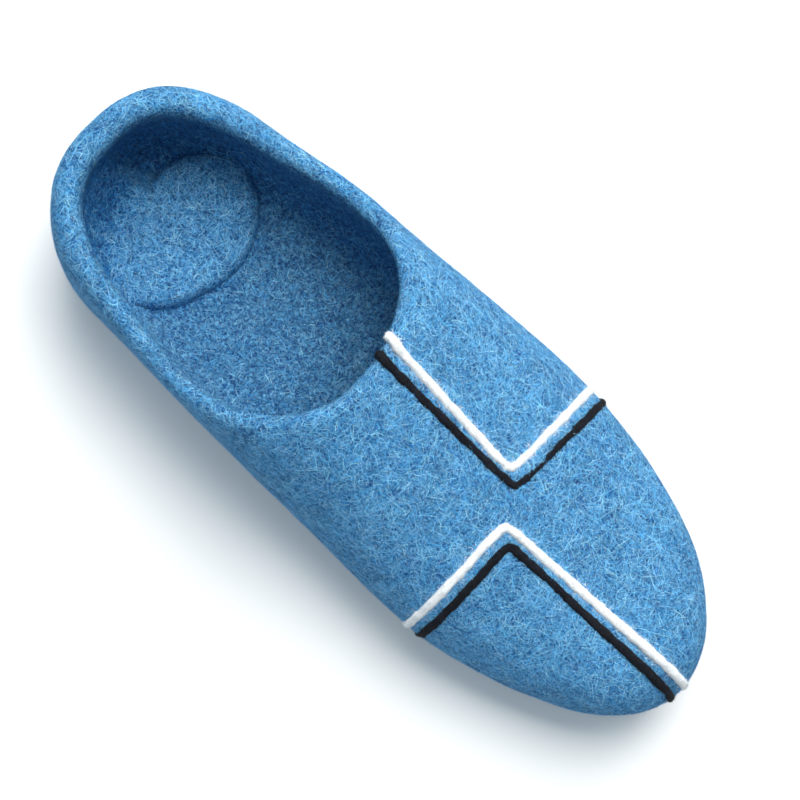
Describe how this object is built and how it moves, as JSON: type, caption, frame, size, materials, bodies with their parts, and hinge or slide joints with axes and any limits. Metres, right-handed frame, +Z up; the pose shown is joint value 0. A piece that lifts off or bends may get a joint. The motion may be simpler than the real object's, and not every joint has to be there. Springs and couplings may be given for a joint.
{
  "type": "felt slipper",
  "caption": "Slip-on felt slipper for the left foot: seamless thick felt upper, open collar, padded heel, thin suede sole and angled yarn stripes.",
  "frame": {"origin": "on the floor under the middle of the slipper's bounding box", "axes": "+Y from heel to toe, +X to the inner side of the foot, +Z up from the floor"},
  "size_m": [0.1034, 0.2714, 0.0679],
  "materials": {
    "felt": "matte azure wool felt with short loose fibres",
    "pad": "matte azure wool felt with a short nap",
    "suede": "brushed dark suede",
    "white_yarn": "fuzzy felted white yarn",
    "black_yarn": "fuzzy felted black yarn"
  },
  "bodies": {
    "root": {"upper": "felt", "sole": "suede", "heel_pad": "pad", "stripe_white_instep": "white_yarn", "stripe_black_instep": "black_yarn", "stripe_white_toe": "white_yarn", "stripe_black_toe": "black_yarn"}
  },
  "joints": []
}
